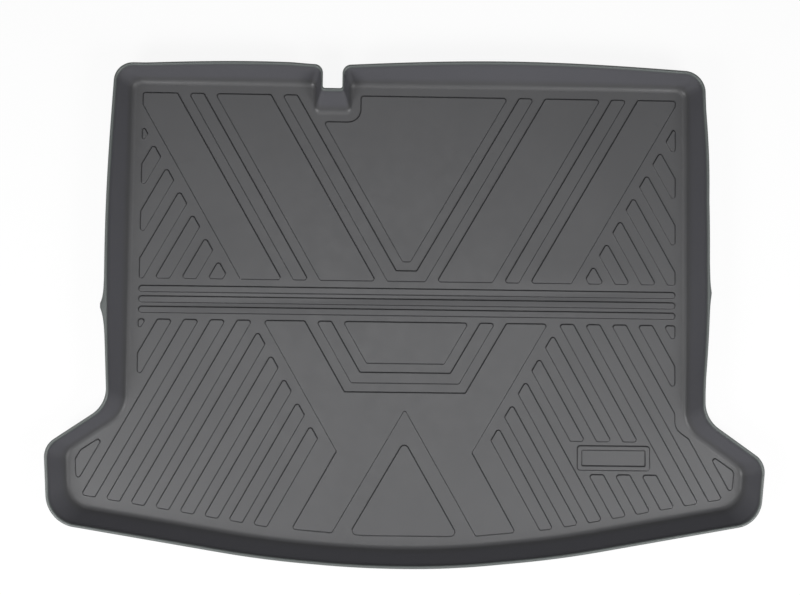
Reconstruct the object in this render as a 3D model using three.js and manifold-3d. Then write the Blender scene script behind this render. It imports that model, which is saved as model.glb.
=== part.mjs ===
// Car boot liner: one moulded tray of thermoplastic elastomer, in millimetres, +Z up.
// The origin is the middle of the tray's overall box, on the surface that it lies on.
// +Y is the rear seat side, with the notch, and -Y the bowed loading side.
import * as THREE from 'three';
import { mergeVertices } from 'three/addons/utils/BufferGeometryUtils.js';
import Module from 'manifold-3d';

const wasm = await Module();
wasm.setup();

// Sheet and wall section
const trayHeight = 42;
const floorThickness = 2.5;
const wallThickness = 2.5;
const footFillet = 9;
const lipWidth = 5;
const lipHeight = 3;

// Foot line of the wall: distances from the middle of the sides
const sideFoot = 405.8;
const backFoot = 335;
const frontFoot = 339.4;
const frontFlatHalf = 60;
const frontBendLeft = [-200, -328.4];
const frontBendRight = [215, -323.8];
const lobeFoot = 489.5;
const lobeTaper = 5;
const waistLeft = -149;
const waistRight = -162.5;
const lobeBackLeft = -205.5;
const lobeBackRight = -221.5;
const lobeFrontLeft = -282.3;
const lobeFrontRight = -274.3;

// Notch in the back wall
const notchCentre = -113.5;
const notchFootWidth = 52.5;
const notchFootDepth = 41.1;

// Run of the wall from its foot line to the outer edge of the lip
const sideDraft = 21.9;
const backDraft = 19.5;
const frontDraft = 26;
const flareDraftLeft = 21.8;
const flareDraftRight = 24.5;
const lobeDraftLeft = 25;
const lobeDraftRight = 23.5;
const notchSideDraft = 12.2;
const notchEndDraft = 28;

// Bare floor between the foot line and the tread
const sideMargin = 15.6;
const backMargin = 17.8;
const frontMarginLeft = 17.5;
const frontMarginRight = 14;
const flareMargin = 10.3;
const lobeMargin = 12.5;
const notchMargin = 15.5;

// Corner radii: first on the foot line, then on the lip's outer edge
const backCorner = [14, 35];
const waistCorner = [45, 45];
const lobeBackCorner = [22, 30];
const lobeFrontCorner = [36, 56];
const notchMouthCorner = [7, 11];
const notchEndCorner = [8, 3];
const frontBend = [1500, 1500];
const largestSetback = 0.49; // share of an edge that one corner may take

// Set of the soft rim: broad bows, and the kinks where the fold from packing meets the sides
const foldLeft = 8;
const foldRight = 36;
const rimBows = [
  { edge: 'left', centre: 90, reach: 240, push: 8.1 },
  { edge: 'left', centre: foldLeft, reach: 19, push: 4 },
  { edge: 'right', centre: 95, reach: 200, push: 6.3 },
  { edge: 'right', centre: -30, reach: 100, push: 1.8 },
  { edge: 'right', centre: 240, reach: 80, push: 1.8 },
  { edge: 'right', centre: foldRight, reach: 19, push: 2 },
  { edge: 'backRight', centre: 150, reach: 260, push: 10.4 },
  { edge: 'backLeft', centre: -225, reach: 150, push: 4.6 },
];

// Raised tread on the floor
const treadHeight = 2;
const treadShoulder = 1.2;
const treadCorner = 3;
const notchRound = 21;
const treadBury = 0.6;
const shortestEdge = 1.5;
const smallestPad = 20; // square millimetres
const frontSlope = THREE.MathUtils.degToRad(30);
const treadShift = -2.8;
const grooveWidth = 18;
const levelGap = 14;
const panelAngle = THREE.MathUtils.degToRad(60);
const barAngle = THREE.MathUtils.degToRad(60.75);

// Band of cross bars that parts the back field from the front field
const bandCentre = 15.4;
const crossBarCount = 3;
const crossBarPitch = 15.15;
const crossBarWidth = 8.2;
const bandGapBack = 11.6;
const bandGapFront = 10.2;

// Panels, measured outwards from the tread's axis along the back edge of the band
const veeHalf = 27.3;
const veeBase = 14.6;
const stripWidth = 20.5;
const widePanel = 80;
const edgePanel = 59;

// Side bars, on one grid for both fields, counted outwards along the same edge
const barStart = 249;
const barPitch = 38.55;
const barWidth = 20.4;
const backBars = [1, 7];
const frontBars = [-6, 3];
const wholeBar = 1; // runs past the left waist uncut

// Middle of the front field
const trayNotchDrop = 102;
const ridgeGroove = 27;
const ridgeApexDrop = 125.4;
const pointCorner = 6;

// Bare name frame
const frameCentre = [301.2, -207.3];
const frameSize = [104.4, 34.6];
const frameBorder = 5.6;
const frameGap = 7;
const frameCorner = 4;

// Facets
const cornerSegments = 6;
const tightSegments = 4;
const bendSegments = 3;
const filletSegments = 4;
const beadSegments = 6;
const treadSegments = 3;
const shallowTurn = THREE.MathUtils.degToRad(14);
const bowStops = [-0.75, -0.4, 0, 0.4, 0.75]; // shares of a bow's reach
const endMargin = 0.02; // share of an edge kept free of stops

const point = (x, y) => new THREE.Vector2(x, y);
const cot = (angle) => 1 / Math.tan(angle);

// Unit normal on the right-hand side of the way from a to b: outwards on a loop that runs
// anticlockwise.
function sideNormal(a, b) {
  const along = b.clone().sub(a).normalize();
  return point(along.y, -along.x);
}

// Arc that touches both edges of a corner, as points with their outward normals.
function cornerArc(before, corner, after, radius, segments) {
  const normalIn = sideNormal(before, corner);
  const normalOut = sideNormal(corner, after);
  const turn = Math.atan2(normalIn.cross(normalOut), normalIn.dot(normalOut));
  const room = largestSetback * Math.min(corner.distanceTo(before), corner.distanceTo(after));
  const setback = Math.min(radius * Math.tan(Math.abs(turn) / 2), room);
  const trueRadius = setback / Math.tan(Math.abs(turn) / 2);
  const side = Math.sign(turn);
  const start = corner.clone().add(before.clone().sub(corner).setLength(setback));
  const centre = start.clone().addScaledVector(normalIn, -side * trueRadius);
  return Array.from({ length: segments + 1 }, (_, i) => {
    const normal = normalIn.clone().rotateAround(point(0, 0), (turn * i) / segments);
    return { at: centre.clone().addScaledVector(normal, side * trueRadius), normal };
  });
}

// Closed solid through loops of equal length, each above or outside the one before it.
function loft(rows) {
  const count = rows[0].length;
  const positions = rows.flat().flatMap((p) => [p.x, p.y, p.z]);
  const index = [];
  for (let row = 0; row < rows.length - 1; row += 1) {
    for (let i = 0; i < count; i += 1) {
      const next = (i + 1) % count;
      const [a, b] = [row * count + i, (row + 1) * count + i];
      const [d, c] = [row * count + next, (row + 1) * count + next];
      index.push(a, b, c, a, c, d);
    }
  }
  const flat = (loop) => THREE.ShapeUtils.triangulateShape(loop.map((p) => point(p.x, p.y)), []);
  const last = (rows.length - 1) * count;
  for (const [a, b, c] of flat(rows[0])) index.push(a, b, c);
  for (const [a, b, c] of flat(rows[rows.length - 1])) index.push(last + a, last + c, last + b);
  const geometry = new THREE.BufferGeometry();
  geometry.setAttribute('position', new THREE.Float32BufferAttribute(positions, 3));
  geometry.setIndex(index);
  return geometry;
}

function toSolid(geometry) {
  geometry.deleteAttribute('normal');
  geometry.deleteAttribute('uv');
  const merged = mergeVertices(geometry);
  return new wasm.Manifold(new wasm.Mesh({
    numProp: 3,
    vertProperties: new Float32Array(merged.attributes.position.array),
    triVerts: new Uint32Array(merged.index.array),
  }));
}

function toGeometry(solid) {
  const mesh = solid.getMesh();
  const geometry = new THREE.BufferGeometry();
  geometry.setAttribute('position', new THREE.BufferAttribute(mesh.vertProperties, 3));
  geometry.setIndex(new THREE.BufferAttribute(mesh.triVerts, 1));
  geometry.computeVertexNormals();
  return geometry;
}

// Corners of the foot line, anticlockwise from the right waist. Each has the draft and the
// tread's margin of the edge that follows it, and the name of an edge whose rim is bowed.
function footCorners() {
  const notchRight = notchCentre + notchFootWidth / 2;
  const notchLeft = notchCentre - notchFootWidth / 2;
  const notchEnd = backFoot - notchFootDepth;
  const corner = (x, y, radii, segments, [draft, margin], edge = '') => ({
    at: point(x, y), radii, segments, draft, margin, edge,
  });
  const side = [sideDraft, sideMargin];
  const back = [backDraft, backMargin];
  const notchWall = [notchSideDraft, notchMargin];
  const frontLeft = [frontDraft, frontMarginLeft];
  const frontRight = [frontDraft, frontMarginRight];
  return [
    corner(sideFoot, waistRight, waistCorner, cornerSegments, side, 'right'),
    corner(sideFoot, backFoot, backCorner, cornerSegments, back, 'backRight'),
    corner(notchRight, backFoot, notchMouthCorner, tightSegments, notchWall),
    corner(notchRight, notchEnd, notchEndCorner, tightSegments, [notchEndDraft, notchMargin]),
    corner(notchLeft, notchEnd, notchEndCorner, tightSegments, notchWall),
    corner(notchLeft, backFoot, notchMouthCorner, tightSegments, back, 'backLeft'),
    corner(-sideFoot, backFoot, backCorner, cornerSegments, side, 'left'),
    corner(-sideFoot, waistLeft, waistCorner, cornerSegments, [flareDraftLeft, flareMargin]),
    corner(-lobeFoot, lobeBackLeft, lobeBackCorner, cornerSegments, [lobeDraftLeft, lobeMargin]),
    corner(lobeTaper - lobeFoot, lobeFrontLeft, lobeFrontCorner, cornerSegments, frontLeft),
    corner(...frontBendLeft, frontBend, bendSegments, frontLeft),
    corner(-frontFlatHalf, -frontFoot, frontBend, bendSegments, frontLeft),
    corner(frontFlatHalf, -frontFoot, frontBend, bendSegments, frontRight),
    corner(...frontBendRight, frontBend, bendSegments, frontRight),
    corner(lobeFoot - lobeTaper, lobeFrontRight, lobeFrontCorner, cornerSegments,
      [lobeDraftRight, lobeMargin]),
    corner(lobeFoot, lobeBackRight, lobeBackCorner, cornerSegments,
      [flareDraftRight, flareMargin]),
  ];
}

// The same corners with every edge moved outwards by its own distance.
function moveEdges(corners, distanceOf) {
  const count = corners.length;
  return corners.map(({ at }, i) => {
    const before = corners[(i + count - 1) % count];
    const after = corners[(i + 1) % count];
    const normalIn = sideNormal(before.at, at);
    const normalOut = sideNormal(at, after.at);
    const [moveIn, moveOut] = [distanceOf(before), distanceOf(corners[i])];
    const cross = normalIn.cross(normalOut);
    return point(
      at.x + (moveIn * normalOut.y - moveOut * normalIn.y) / cross,
      at.y + (moveOut * normalIn.x - moveIn * normalOut.x) / cross,
    );
  });
}

// Places along one edge, as shares of it, that carry the bows and kinks of the rim.
function edgeStations(edge, from, to) {
  const alongX = edge.startsWith('back');
  const [start, end] = alongX ? [from.x, to.x] : [from.y, to.y];
  const stops = rimBows.filter((bow) => bow.edge === edge).flatMap(({ centre, reach }) => (
    bowStops.map((share) => (centre + share * reach - start) / (end - start))
  ));
  const inside = stops.filter((share) => Math.min(share, 1 - share) > endMargin);
  return inside.sort((a, b) => a - b);
}

// Outward push of the rim at a place along an edge: half a cosine wave over each bow.
function rimPush(edge, place) {
  return rimBows.filter((bow) => bow.edge === edge).reduce((sum, { centre, reach, push }) => {
    const share = Math.min(Math.abs(place - centre) / reach, 1);
    return sum + push * Math.cos((share * Math.PI) / 2);
  }, 0);
}

// Matching points of the foot line and of the lip's outer edge, in pairs.
function wallStations() {
  const corners = footCorners();
  const rimCorners = moveEdges(corners, (corner) => corner.draft);
  const count = corners.length;
  const arcs = corners.map(({ radii, segments }, i) => {
    const [before, after] = [(i + count - 1) % count, (i + 1) % count];
    return {
      foot: cornerArc(corners[before].at, corners[i].at, corners[after].at, radii[0], segments),
      rim: cornerArc(rimCorners[before], rimCorners[i], rimCorners[after], radii[1], segments),
    };
  });
  return arcs.flatMap(({ foot, rim }, i) => {
    const next = arcs[(i + 1) % count];
    const pairs = foot.map(({ at }, k) => ({ foot: at, rim: rim[k].at }));
    const [footFrom, footTo] = [foot.at(-1).at, next.foot[0].at];
    const [rimFrom, rimTo] = [rim.at(-1).at, next.rim[0].at];
    const { edge } = corners[i];
    const outwards = sideNormal(footFrom, footTo);
    for (const share of edgeStations(edge, footFrom, footTo)) {
      const footPoint = footFrom.clone().lerp(footTo, share);
      const place = edge.startsWith('back') ? footPoint.x : footPoint.y;
      const rimPoint = rimFrom.clone().lerp(rimTo, share);
      rimPoint.addScaledVector(outwards, rimPush(edge, place));
      pairs.push({ foot: footPoint, rim: rimPoint });
    }
    return pairs;
  });
}

// Half of the tray's section at one place: x runs outwards from the foot line, y is the height.
// It starts on the floor, goes up the inside, over the bead and down the outside.
function wallSection(run) {
  const shoulder = trayHeight - lipHeight;
  const innerTop = point(run - lipWidth, shoulder);
  const innerFoot = point(0, floorThickness);
  const slope = innerTop.clone().sub(innerFoot).normalize();
  const outwards = point(slope.y, -slope.x).multiplyScalar(wallThickness);
  const outerTop = point(innerTop.x + wallThickness / slope.y, shoulder);
  const drop = outerTop.y / slope.y;
  const outerFoot = outerTop.clone().addScaledVector(slope, -drop);
  const inside = cornerArc(point(-sideFoot, floorThickness), innerFoot, innerTop, footFillet,
    filletSegments).map(({ at }) => at);
  const bead = Array.from({ length: beadSegments + 1 }, (_, i) => {
    const angle = Math.PI * (1 - i / beadSegments);
    return point(
      innerTop.x + (lipWidth / 2) * (1 + Math.cos(angle)),
      shoulder + lipHeight * Math.sin(angle),
    );
  });
  const outside = cornerArc(outerTop, outerFoot, point(-sideFoot, 0),
    footFillet + outwards.length(), filletSegments).map(({ at }) => at);
  return [...inside, ...bead, outerTop, ...outside];
}

function trayBody() {
  const columns = wallStations().map(({ foot, rim }) => {
    const away = rim.clone().sub(foot);
    const direction = away.clone().normalize();
    return wallSection(away.length()).map((place) => {
      const at = foot.clone().addScaledVector(direction, place.x);
      return new THREE.Vector3(at.x, at.y, place.y);
    });
  });
  const rows = columns[0].map((_, row) => columns.map((column) => column[row]));
  return toSolid(loft(rows));
}

// Part of an outline on the inner side of a line through `on` with the outward `normal`.
function clip(outline, on, normal) {
  const depth = (p) => (p.x - on.x) * normal.x + (p.y - on.y) * normal.y;
  return outline.flatMap((here, i) => {
    const next = outline[(i + 1) % outline.length];
    const [a, b] = [depth(here), depth(next)];
    const kept = a <= 0 ? [here] : [];
    if (a * b < 0) kept.push(here.clone().lerp(next, a / (a - b)));
    return kept;
  });
}

// Outline with its corners rounded, as points with outward normals. Shallow corners stay.
function roundOutline(outline, radius, hollowRadius = radius) {
  const anticlockwise = THREE.ShapeUtils.area(outline) > 0 ? outline : [...outline].reverse();
  const count = anticlockwise.length;
  return anticlockwise.flatMap((corner, i) => {
    const before = anticlockwise[(i + count - 1) % count];
    const after = anticlockwise[(i + 1) % count];
    const [normalIn, normalOut] = [sideNormal(before, corner), sideNormal(corner, after)];
    const turn = Math.acos(THREE.MathUtils.clamp(normalIn.dot(normalOut), -1, 1));
    const round = normalIn.cross(normalOut) > 0 ? radius : hollowRadius;
    if (turn > shallowTurn) return cornerArc(before, corner, after, round, treadSegments);
    const normal = normalIn.add(normalOut);
    return [{ at: corner, normal: normal.multiplyScalar(2 / normal.lengthSq()) }];
  });
}

// Raised pad with sloped shoulders, buried a little in the floor that carries it.
function pad(outline, radius = treadCorner, hollowRadius = radius) {
  const corners = outline.filter((p, i) => p.distanceTo(outline.at(i - 1)) > shortestEdge);
  const rounded = roundOutline(corners, radius, hollowRadius);
  const level = (spread, height) => rounded.map(({ at, normal }) => new THREE.Vector3(
    at.x + normal.x * spread,
    at.y + normal.y * spread,
    floorThickness + height,
  ));
  return toSolid(loft([
    level(0, treadHeight),
    level(treadShoulder, 0),
    level(treadShoulder, -treadBury),
  ]));
}

// The tread is laid out on one side: u runs outwards from its axis, y as on the tray.
const bandHalf = ((crossBarCount - 1) * crossBarPitch + crossBarWidth) / 2;
const bandBack = bandCentre + bandHalf + bandGapBack;
const bandFront = bandCentre - bandHalf - bandGapFront;
const fieldBack = backFoot - backMargin;
const fieldSide = sideFoot - sideMargin;

const toTray = (outline, side) => outline.map((p) => point(side * p.x + treadShift, p.y));

// Panel edges lean outwards to the back, bar edges lean outwards to the front.
const panelEdge = (start, y) => point(start + (y - bandBack) * cot(panelAngle), y);
const barEdge = (start, y) => point(start - (y - bandBack) * cot(barAngle), y);
const panelOut = point(Math.sin(panelAngle), -Math.cos(panelAngle));
const barOut = point(Math.sin(barAngle), Math.cos(barAngle));

// Distances outwards along the back edge of the band
const wideStart = veeHalf + grooveWidth;
const stripStart = wideStart + widePanel + grooveWidth;
const edgeStart = stripStart + stripWidth + grooveWidth;
const edgeEnd = edgeStart + edgePanel;
const headStart = edgeEnd + grooveWidth;

// Outline of which the right half is given, from its lowest inner corner onwards.
const mirrored = (right) => [...right, ...right.map((p) => point(-p.x, p.y)).reverse()];

// A line of the tread on one side, as the tray sees it: a point on it and its outward normal.
const trayLine = (on, normal, side) => ({
  on: toTray([on], side)[0], normal: point(side * normal.x, normal.y),
});

const within = (outline, limits) => limits.reduce(
  (rest, { on, normal }) => (rest.length > 2 ? clip(rest, on, normal) : rest),
  outline,
);

const area = (outline) => Math.abs(THREE.ShapeUtils.area(outline));
const large = (outline) => outline.length > 2 && area(outline) > smallestPad;

// Field edges follow the foot line at the margin of each edge.
const fieldCorners = moveEdges(footCorners(), ({ margin }) => -margin);

// Front field from the band to the bowed front, with both lobes, and the same field with its
// left side moved out past the waist.
const [waistOnRight, waistOnLeft, ...lobesAndFront] = fieldCorners.filter((p) => p.y < bandFront);
const frontField = [
  waistOnRight, point(fieldSide, bandFront), point(-fieldSide, bandFront),
  waistOnLeft, ...lobesAndFront,
];
const openField = [
  waistOnRight, point(fieldSide, bandFront), point(-lobeFoot, bandFront), ...lobesAndFront,
];
const backField = [
  point(-fieldSide, bandBack), point(fieldSide, bandBack),
  point(fieldSide, fieldBack), point(-fieldSide, fieldBack),
];

// Lines that bound one bar: its outer and inner edges, and its head beside the edge panel.
function barLimits(number, side) {
  const outer = barEdge(barStart + number * barPitch, bandBack);
  const inner = barEdge(outer.x - barWidth, bandBack);
  const head = point(headStart, bandBack);
  return [
    trayLine(outer, barOut, side),
    trayLine(inner, barOut.clone().negate(), side),
    trayLine(head, panelOut.clone().negate(), side),
  ];
}

const inFront = (y) => ({ on: point(0, y), normal: point(0, 1) });
const behind = (y) => ({ on: point(0, y), normal: point(0, -1) });

// Bars of one field on one side. The waist leaves a soft hollow in a bar that it cuts.
function sideBars(fieldOf, side, [first, last], stretchesOf) {
  const bars = [];
  for (let number = first; number <= last; number += 1) {
    const limits = barLimits(number, side);
    for (const stretch of stretchesOf(limits)) {
      const outline = within(fieldOf(number), [...stretch, ...limits]);
      if (large(outline)) bars.push(pad(outline, treadCorner, waistCorner[0] + flareMargin));
    }
  }
  return bars;
}

// A bar is whole where it misses the waist of the field. One that lies beyond the waist is two
// bars, and one that would run through the name frame stops short of it and starts again.
function frontStretches(side) {
  const waist = side > 0 ? waistOnRight : waistOnLeft;
  const [left, right] = [-1, 1].map((end) => frameCentre[0] + (end * frameSize[0]) / 2);
  const [front, back] = [-1, 1].map((end) => frameCentre[1] + (end * frameSize[1]) / 2);
  const frame = [point(left, front), point(right, front), point(right, back), point(left, back)];
  return (limits) => {
    const inner = limits[1];
    const pastWaist = waist.clone().sub(inner.on).dot(inner.normal) > 0;
    if (pastWaist) return [[behind(waist.y)], [inFront(waist.y)]];
    const meetsFrame = large(within(frame, limits));
    return meetsFrame ? [[behind(back + frameGap)], [inFront(front - frameGap)]] : [[]];
  };
}

function crossBars() {
  return Array.from({ length: crossBarCount }, (_, i) => {
    const y = bandCentre + (i - (crossBarCount - 1) / 2) * crossBarPitch;
    const [front, back] = [y - crossBarWidth / 2, y + crossBarWidth / 2];
    return pad([
      point(-fieldSide, front), point(fieldSide, front), point(fieldSide, back), point(-fieldSide, back),
    ], crossBarWidth / 2);
  });
}

// Edge panel, strip and wide panel of the back field on one side. The field's side cuts them.
function backPanels(side) {
  const spans = [[edgeStart, edgePanel], [stripStart, stripWidth], [wideStart, widePanel]];
  return spans.map(([start, width]) => {
    const outline = toTray([
      panelEdge(start, bandBack), panelEdge(start + width, bandBack),
      panelEdge(start + width, fieldBack), panelEdge(start, fieldBack),
    ], side);
    return pad(clip(outline, point(side * fieldSide, 0), point(side, 0)));
  });
}

// Flat-bottomed vee and the panel inside it, which steps round the notch.
function veePanels() {
  const veeFloor = bandBack + veeBase;
  const veeInner = veeHalf - stripWidth;
  const vee = mirrored([
    panelEdge(veeHalf, bandBack), panelEdge(veeHalf, fieldBack),
    panelEdge(veeInner, fieldBack), panelEdge(veeInner, veeFloor),
  ]);
  const innerHalf = veeInner - grooveWidth;
  const innerFloor = veeFloor + levelGap;
  const notchLine = backFoot - notchFootDepth - notchMargin;
  const notchSide = notchCentre + notchFootWidth / 2 + notchMargin - treadShift;
  const [floorCorner, notchMeet] = [innerFloor, notchLine].map((y) => panelEdge(innerHalf, y));
  const inner = [
    floorCorner, panelEdge(innerHalf, fieldBack),
    point(notchSide, fieldBack), point(notchSide, notchLine),
    point(-notchMeet.x, notchMeet.y), point(-floorCorner.x, floorCorner.y),
  ];
  return [pad(toTray(vee, 1)), pad(toTray(inner, 1), treadCorner, notchRound)];
}

// Lines along the bowed front edge of the field, as the tread's axis sees them.
function frontEdges() {
  return fieldCorners.flatMap((at, i) => {
    const outwards = sideNormal(at, fieldCorners[(i + 1) % fieldCorners.length]);
    const facesFront = outwards.y < -Math.cos(frontSlope);
    return facesFront ? [{ on: point(at.x - treadShift, at.y), normal: outwards }] : [];
  });
}

// Middle of the front field: a large panel with a flat-bottomed tray cut in its back and a
// ridge cut in its front, a band and a panel nested in the tray, and a triangle in the ridge.
function frontPanels() {
  const legStart = barStart + (frontBars[0] - 1) * barPitch - barWidth;
  const waistDrop = (edgeEnd - legStart) / (cot(panelAngle) + cot(barAngle));
  const trayFloor = bandFront - trayNotchDrop;
  const ridgeApex = bandFront - ridgeApexDrop;
  const ridgeSide = (apex, y) => point((apex - y) * cot(panelAngle), y);
  const belowField = -frontFoot - frontMarginLeft;
  const front = frontEdges();
  const main = within(mirrored([
    point(0, ridgeApex), ridgeSide(ridgeApex, belowField), barEdge(legStart, belowField),
    panelEdge(edgeEnd, bandBack - waistDrop), panelEdge(edgeEnd, bandFront),
    panelEdge(edgeStart, bandFront), panelEdge(edgeStart, trayFloor),
  ]).slice(0, -1), front);
  const bandOuter = edgeStart - grooveWidth;
  const bandInner = bandOuter - stripWidth;
  const bandFloor = trayFloor + levelGap;
  const band = mirrored([
    panelEdge(bandOuter, bandFloor), panelEdge(bandOuter, bandFront),
    panelEdge(bandInner, bandFront), panelEdge(bandInner, bandFloor + veeBase),
  ]);
  const nestedFloor = bandFloor + veeBase + levelGap;
  const nested = mirrored([
    panelEdge(bandInner - grooveWidth, nestedFloor), panelEdge(bandInner - grooveWidth, bandFront),
  ]);
  const triangleApex = ridgeApex - ridgeGroove * Math.tan(panelAngle);
  const triangle = within(mirrored([
    point(0, triangleApex), ridgeSide(triangleApex, belowField),
  ]).slice(0, -1), front);
  return [main, band, nested].map((outline) => pad(toTray(outline, 1)))
    .concat(pad(toTray(triangle, 1), pointCorner));
}

function nameFrame() {
  const rectangle = (border) => [[-1, -1], [1, -1], [1, 1], [-1, 1]].map(([x, y]) => point(
    frameCentre[0] + x * (frameSize[0] / 2 - border),
    frameCentre[1] + y * (frameSize[1] / 2 - border),
  ));
  const rounded = roundOutline(rectangle(frameBorder), frameCorner / 2);
  const level = (spread, height) => rounded.map(({ at, normal }) => new THREE.Vector3(
    at.x + normal.x * spread,
    at.y + normal.y * spread,
    floorThickness + height,
  ));
  const pocket = toSolid(loft([
    level(treadShoulder, 2 * treadHeight),
    level(0, treadHeight),
    level(-treadShoulder, 0),
    level(-treadShoulder, -2 * treadBury),
  ]));
  return pad(rectangle(0), frameCorner).subtract(pocket);
}

const tread = [
  ...crossBars(),
  ...backPanels(-1), ...backPanels(1), ...veePanels(),
  ...[-1, 1].flatMap((side) => sideBars(() => backField, side, backBars, () => [[]])),
  ...[-1, 1].flatMap((side) => sideBars(
    (number) => (side < 0 && number === wholeBar ? openField : frontField),
    side,
    frontBars,
    frontStretches(side),
  )),
  ...frontPanels(),
  nameFrame(),
];
const liner = tread.reduce((body, piece) => body.add(piece), trayBody());

const rubber = new THREE.MeshStandardMaterial({ color: 0x4a4b4d, roughness: 0.55, metalness: 0 });
const linerGeometry = toGeometry(liner);
linerGeometry.computeBoundingBox();
const middle = linerGeometry.boundingBox.getCenter(new THREE.Vector3());
const bootLiner = new THREE.Mesh(linerGeometry, rubber);
bootLiner.name = 'boot_liner';
bootLiner.position.set(-middle.x, -middle.y, 0);

const group = new THREE.Group();
group.add(bootLiner);

export default group;
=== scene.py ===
# %% [markdown]
# # A moulded boot liner
# A boot liner is one sheet of soft black elastomer, pressed hot into a shallow tray. It has a
# wall all round, a rolled lip on the wall, and a raised tread that keeps luggage from sliding.
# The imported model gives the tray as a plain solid. This lesson makes the surface that the eye
# sees: the same form with its soft edges, the fold that packing left, and its satin grain.

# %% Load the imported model
import math
import bmesh
import bpy
import numpy as np
from mathutils import Matrix, Vector
from mathutils.geometry import delaunay_2d_cdt


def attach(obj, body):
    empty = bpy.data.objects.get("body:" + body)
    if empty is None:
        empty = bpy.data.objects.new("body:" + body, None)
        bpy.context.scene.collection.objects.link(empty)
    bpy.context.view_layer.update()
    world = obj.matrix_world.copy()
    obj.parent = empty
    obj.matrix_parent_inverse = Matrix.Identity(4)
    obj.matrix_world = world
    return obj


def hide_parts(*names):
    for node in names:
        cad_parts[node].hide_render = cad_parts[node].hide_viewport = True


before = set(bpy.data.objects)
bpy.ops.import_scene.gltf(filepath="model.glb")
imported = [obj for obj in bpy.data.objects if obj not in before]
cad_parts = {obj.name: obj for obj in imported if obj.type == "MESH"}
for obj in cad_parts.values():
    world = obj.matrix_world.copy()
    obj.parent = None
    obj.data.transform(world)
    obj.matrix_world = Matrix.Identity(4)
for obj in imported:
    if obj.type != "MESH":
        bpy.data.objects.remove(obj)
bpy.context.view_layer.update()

# %% [markdown]
# ## Camera
# The photograph looks almost straight down from about 2.2 m. The camera is placed at that
# point and turned to look at the tray. A little roll follows from the way the tray lies in the
# picture. The focal length comes from the width that the tray fills at that distance. A camera
# could be moved by eye until the picture fits. Numbers that were fitted to the tray's corners
# and bars are more exact, and show at once what was assumed.

# %% Place the camera
CAMERA_AT = Vector((-0.0612, -0.1060, 2.1956))
CAMERA_LOOKS_AT = Vector((-0.0109, 0.0229, 0.0))
CAMERA_ROLL = math.radians(0.70)
CAMERA_LENS = 67.86

back = (CAMERA_AT - CAMERA_LOOKS_AT).normalized()
up_hint = Vector((-math.sin(CAMERA_ROLL), math.cos(CAMERA_ROLL), 0.0))
right = up_hint.cross(back).normalized()
up = back.cross(right)
camera = bpy.data.objects.new("camera", bpy.data.cameras.new("camera"))
camera.data.lens = CAMERA_LENS
camera.matrix_world = (
    Matrix.Translation(CAMERA_AT) @ Matrix((right, up, back)).transposed().to_4x4()
)
bpy.context.scene.collection.objects.link(camera)
bpy.context.scene.camera = camera
print("camera height:", round(camera.matrix_world.translation.z, 3), "m")

# %% [markdown]
# ## Light
# Black elastomer shows its form mostly by the light that it mirrors. One large soft box hangs
# over the middle, and two smaller ones stand low beyond the front corners. Edges that face the
# front catch the low boxes, and edges that face the back stay dark. A weak even sky fills the
# rest. A sun lamp would be simpler, but its light comes from one side only, with hard shadows.

# %% Set the soft boxes and the sky
def soft_box(name, at, size, power):
    """Square area lamp at a point, turned so that its light falls on the middle of the tray."""
    lamp = bpy.data.lights.new(name, "AREA")
    lamp.shape, lamp.size, lamp.energy = "SQUARE", size, power
    holder = bpy.data.objects.new(name, lamp)
    holder.location = at
    holder.rotation_euler = Vector(at).to_track_quat("Z", "Y").to_euler()
    bpy.context.scene.collection.objects.link(holder)


soft_box("soft_box_top", (0.0, 0.0, 2.7), 1.3, 16.0)
soft_box("soft_box_left", (-1.1, -0.75, 1.1), 0.8, 20.5)
soft_box("soft_box_right", (1.1, -0.75, 1.1), 0.8, 20.0)

SKY_COLOUR, SKY_STRENGTH = (0.96, 0.98, 1.0, 1.0), 0.10
sky = bpy.data.worlds.new("sky")
sky.use_nodes = True
sky.node_tree.nodes["Background"].inputs["Color"].default_value = SKY_COLOUR
sky.node_tree.nodes["Background"].inputs["Strength"].default_value = SKY_STRENGTH
bpy.context.scene.world = sky
bpy.context.scene.view_settings.view_transform = "Standard"

# %% [markdown]
# ## Floor
# The tray lies on a plain white floor. The picture shows that floor as white, with only a faint
# shadow round the tray. Stronger lamps would turn a floor white as well, but they would wash the
# black tray out. So Light Path lets the floor shine by itself for the camera and for rays that
# gloss or glass sends on, and the share that doesn't shine keeps the shadow.

# %% Paint the floor
def link(tree, source, target):
    """Joins an output socket to an input socket."""
    tree.links.new(source, target)


def node(tree, kind, **inputs):
    """New shader node of a kind, with the named inputs set."""
    made = tree.nodes.new(kind)
    for name, value in inputs.items():
        made.inputs[name.replace("_", " ")].default_value = value
    return made


OWN_LIGHT = 0.9

floor_paint = bpy.data.materials.new("white_floor")
floor_paint.use_nodes = True
tree = floor_paint.node_tree
tree.nodes.clear()
diffuse = node(tree, "ShaderNodeBsdfDiffuse", Color=(0.9, 0.9, 0.9, 1.0))
glow = node(tree, "ShaderNodeEmission", Color=(1.0, 1.0, 1.0, 1.0), Strength=1.0)
path = tree.nodes.new("ShaderNodeLightPath")
camera_or_gloss = node(tree, "ShaderNodeMath")
camera_or_gloss.operation = "MAXIMUM"
seen = node(tree, "ShaderNodeMath")
seen.operation = "MAXIMUM"
share = node(tree, "ShaderNodeMath")
share.operation = "MULTIPLY"
share.inputs[1].default_value = OWN_LIGHT
mix = tree.nodes.new("ShaderNodeMixShader")
output = tree.nodes.new("ShaderNodeOutputMaterial")
link(tree, path.outputs["Is Camera Ray"], camera_or_gloss.inputs[0])
link(tree, path.outputs["Is Glossy Ray"], camera_or_gloss.inputs[1])
link(tree, camera_or_gloss.outputs[0], seen.inputs[0])
link(tree, path.outputs["Is Transmission Ray"], seen.inputs[1])
link(tree, seen.outputs[0], share.inputs[0])
link(tree, share.outputs[0], mix.inputs[0])
link(tree, diffuse.outputs[0], mix.inputs[1])
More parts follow.
